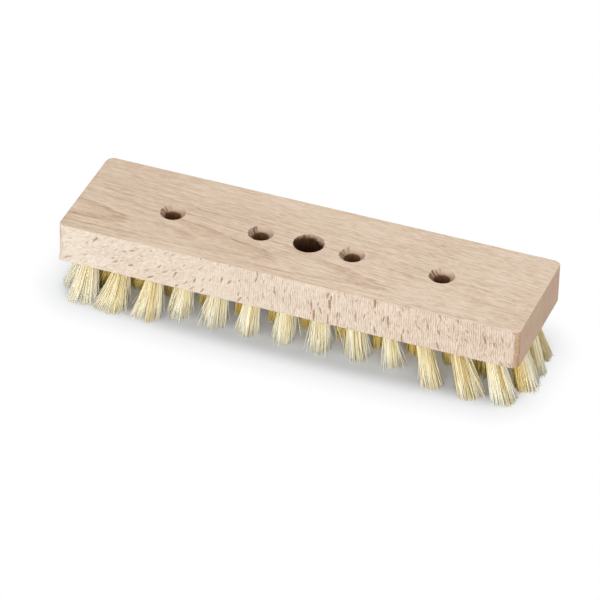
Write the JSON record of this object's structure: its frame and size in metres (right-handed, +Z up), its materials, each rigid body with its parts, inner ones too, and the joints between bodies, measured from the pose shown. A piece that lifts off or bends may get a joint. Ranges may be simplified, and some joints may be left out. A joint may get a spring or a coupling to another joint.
{
  "type": "floor scrub brush head",
  "caption": "Rectangular beech scrub brush head with stiff plant-fibre tufts splayed at the ends, and a plain hole and countersunk holes on top for a handle fitting.",
  "frame": {"origin": "on the floor under the middle of the block, at the trimmed bristle tips", "axes": "+X along the block's length, +Y towards the back long side, +Z up out of the block's top face"},
  "size_m": [0.2318, 0.061, 0.042],
  "materials": {
    "beech": "plain sanded beech, no varnish",
    "fibre": "stiff straw-coloured plant fibre, cut ends",
    "anchor_steel": "flat drawn wire"
  },
  "bodies": {
    "root": {"beech_block": "beech", "bristle_row_front_outer": "fibre", "bristle_row_front_inner": "fibre", "bristle_row_back_inner": "fibre", "bristle_row_back_outer": "fibre", "tuft_anchor_01": "anchor_steel", "tuft_anchor_02": "anchor_steel", "tuft_anchor_03": "anchor_steel", "tuft_anchor_04": "anchor_steel", "tuft_anchor_05": "anchor_steel", "tuft_anchor_06": "anchor_steel", "tuft_anchor_07": "anchor_steel", "tuft_anchor_08": "anchor_steel", "tuft_anchor_09": "anchor_steel", "tuft_anchor_10": "anchor_steel", "tuft_anchor_11": "anchor_steel", "tuft_anchor_12": "anchor_steel", "tuft_anchor_13": "anchor_steel", "tuft_anchor_14": "anchor_steel", "tuft_anchor_15": "anchor_steel", "tuft_anchor_16": "anchor_steel", "tuft_anchor_17": "anchor_steel", "tuft_anchor_18": "anchor_steel", "tuft_anchor_19": "anchor_steel", "tuft_anchor_20": "anchor_steel", "tuft_anchor_21": "anchor_steel", "tuft_anchor_22": "anchor_steel", "tuft_anchor_23": "anchor_steel", "tuft_anchor_24": "anchor_steel", "tuft_anchor_25": "anchor_steel", "tuft_anchor_26": "anchor_steel", "tuft_anchor_27": "anchor_steel", "tuft_anchor_28": "anchor_steel", "tuft_anchor_29": "anchor_steel", "tuft_anchor_30": "anchor_steel", "tuft_anchor_31": "anchor_steel", "tuft_anchor_32": "anchor_steel", "tuft_anchor_33": "anchor_steel", "tuft_anchor_34": "anchor_steel", "tuft_anchor_35": "anchor_steel", "tuft_anchor_36": "anchor_steel", "tuft_anchor_37": "anchor_steel", "tuft_anchor_38": "anchor_steel", "tuft_anchor_39": "anchor_steel", "tuft_anchor_40": "anchor_steel", "tuft_anchor_41": "anchor_steel", "tuft_anchor_42": "anchor_steel", "tuft_anchor_43": "anchor_steel", "tuft_anchor_44": "anchor_steel", "tuft_anchor_45": "anchor_steel", "tuft_anchor_46": "anchor_steel", "tuft_anchor_47": "anchor_steel", "tuft_anchor_48": "anchor_steel", "tuft_anchor_49": "anchor_steel", "tuft_anchor_50": "anchor_steel", "tuft_anchor_51": "anchor_steel", "tuft_anchor_52": "anchor_steel", "tuft_anchor_53": "anchor_steel", "tuft_anchor_54": "anchor_steel"}
  },
  "joints": []
}
